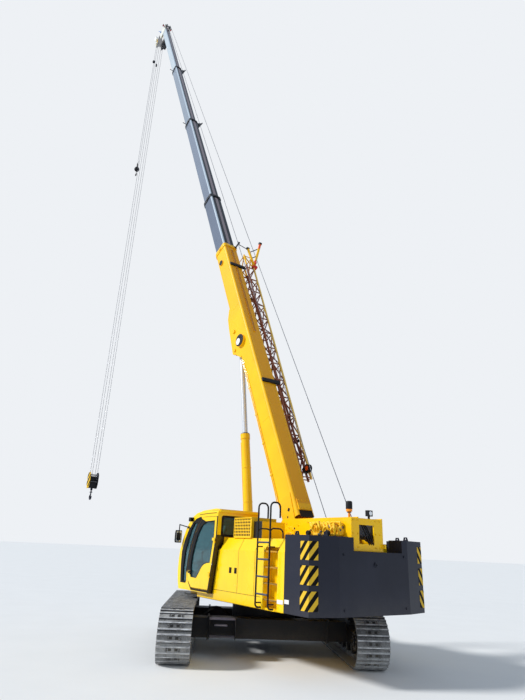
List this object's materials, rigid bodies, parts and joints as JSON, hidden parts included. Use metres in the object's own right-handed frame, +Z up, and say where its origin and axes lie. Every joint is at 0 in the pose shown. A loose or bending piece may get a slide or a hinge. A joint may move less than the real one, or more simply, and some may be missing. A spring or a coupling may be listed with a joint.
{
  "type": "telescopic boom crawler crane",
  "caption": "Crawler crane on steel tracks with a slewing upper, side cab, counterweight, raised telescopic boom, lift cylinder, stowed lattice jib and hanging hooks.",
  "frame": {"origin": "on the slewing axis, at ground level under the tracks", "axes": "+X forward along the upper structure and boom, +Y to its left, the cab's side, +Z up; the tracks stand turned 30.6 degrees under it"},
  "size_m": [18.4393, 6.259, 34.114],
  "materials": {
    "yellow_paint": "gloss golden yellow paint, worn at edges",
    "slate_paint": "semi-gloss slate grey paint",
    "grey_paint": "semi-gloss grey paint, dusty",
    "black_paint": "satin black paint",
    "track_steel": "bare worn steel, dusty",
    "ring_steel": "machined steel",
    "rope_steel": "galvanised wire rope",
    "rod_chrome": "hard chrome",
    "cab_glass": "dark tinted glass",
    "black_plastic": "grained black plastic",
    "amber_plastic": "amber lens",
    "hose_yellow": "yellow sleeved hose",
    "jib_paint": "red-brown primer with yellow chords"
  },
  "bodies": {
    "undercarriage": {"carbody": "black_paint", "slew_ring": "ring_steel", "track_frame_left": "black_paint", "track_frame_right": "black_paint", "track_left": "track_steel", "track_right": "track_steel", "sprockets": "black_paint", "idlers": "black_paint", "rollers": "black_paint"},
    "upper": {"platform": "yellow_paint", "counterweight": "slate_paint", "left_housing": "yellow_paint", "right_housing": "yellow_paint", "front_tank": "yellow_paint", "engine": "black_paint", "cooler_grille": "yellow_paint", "main_winch": "black_paint", "aux_winch": "black_paint", "hose_bundle": "hose_yellow", "cab_shell": "yellow_paint", "cab_glass": "cab_glass", "seat": "black_plastic", "console": "black_plastic", "ladder": "black_paint", "beacon": "amber_plastic", "work_lamps": "black_plastic", "mirrors": "black_plastic", "exhaust": "black_paint"},
    "door": {"cab_door": "yellow_paint", "door_glass": "cab_glass"},
    "boom": {"boom_base": "yellow_paint", "jib": "jib_paint", "jib_brackets": "black_paint"},
    "section_2": {"section_2": "grey_paint"},
    "section_3": {"section_3": "grey_paint"},
    "section_4": {"section_4": "grey_paint"},
    "section_5": {"section_5": "grey_paint", "boom_head": "black_paint", "head_sheaves": "black_paint"},
    "lift_rod": {"lift_rod": "rod_chrome"},
    "lift_barrel": {"lift_barrel": "yellow_paint"},
    "falls": {"main_falls": "rope_steel", "hook_block": "yellow_paint"},
    "hook": {"hook": "black_paint"},
    "aux_line": {"aux_fall": "rope_steel", "aux_hook": "black_paint"}
  },
  "joints": [
    {"name": "slew", "type": "hinge", "parent": "undercarriage", "child": "upper", "pos_m": [0, 0, 1], "axis": [0, 0, 1], "continuous": true},
    {"name": "cab_door", "type": "hinge", "parent": "upper", "child": "door", "pos_m": [-0.332, 1.62, 2.3], "axis": [-0.1833, 0, 0.9831], "range_deg": [0, 110]},
    {"name": "luff", "type": "hinge", "parent": "upper", "child": "boom", "pos_m": [-1.335, 0, 2.353], "axis": [0, -1, 0], "range_deg": [-64.8, 15.2]},
    {"name": "extend_2", "type": "slide", "parent": "boom", "child": "section_2", "axis": [0.4258, 0, 0.9048], "range_m": [-3.08, 4]},
    {"name": "extend_3", "type": "slide", "parent": "section_2", "child": "section_3", "axis": [0.4258, 0, 0.9048], "range_m": [-6.65, 0.75]},
    {"name": "extend_4", "type": "slide", "parent": "section_3", "child": "section_4", "axis": [0.4258, 0, 0.9048], "range_m": [-6.65, 0.75]},
    {"name": "extend_5", "type": "slide", "parent": "section_4", "child": "section_5", "axis": [0.4258, 0, 0.9048], "range_m": [-6.65, 0.75]},
    {"name": "rod_pin", "type": "hinge", "parent": "boom", "child": "lift_rod", "pos_m": [1.59651, 0, 7.54938], "axis": [0, -1, 0], "range_deg": [-10, 4]},
    {"name": "lift_slide", "type": "slide", "parent": "lift_rod", "child": "lift_barrel", "axis": [0.1623, 0, 0.9867], "range_m": [-0.6, 2.3]},
    {"name": "main_hang", "type": "hinge", "parent": "section_5", "child": "falls", "pos_m": [13.95584, 0, 32.9218], "axis": [0, -1, 0], "range_deg": [-16, 66]},
    {"name": "hook_swivel", "type": "hinge", "parent": "falls", "child": "hook", "pos_m": [13.95584, 0, 4.1], "axis": [0, 0, 1], "continuous": true},
    {"name": "aux_hang", "type": "hinge", "parent": "section_5", "child": "aux_line", "pos_m": [14.61528, 0, 33.59511], "axis": [0, -1, 0], "range_deg": [-16, 66]}
  ],
  "couplings": [
    {"joint": "extend_4", "follows": "extend_3", "ratio": 1},
    {"joint": "extend_5", "follows": "extend_3", "ratio": 1},
    {"joint": "rod_pin", "follows": "luff", "ratio": 0.1},
    {"joint": "lift_slide", "follows": "luff", "m_per_rad": -1.93},
    {"joint": "main_hang", "follows": "luff", "ratio": -1},
    {"joint": "aux_hang", "follows": "luff", "ratio": -1}
  ]
}
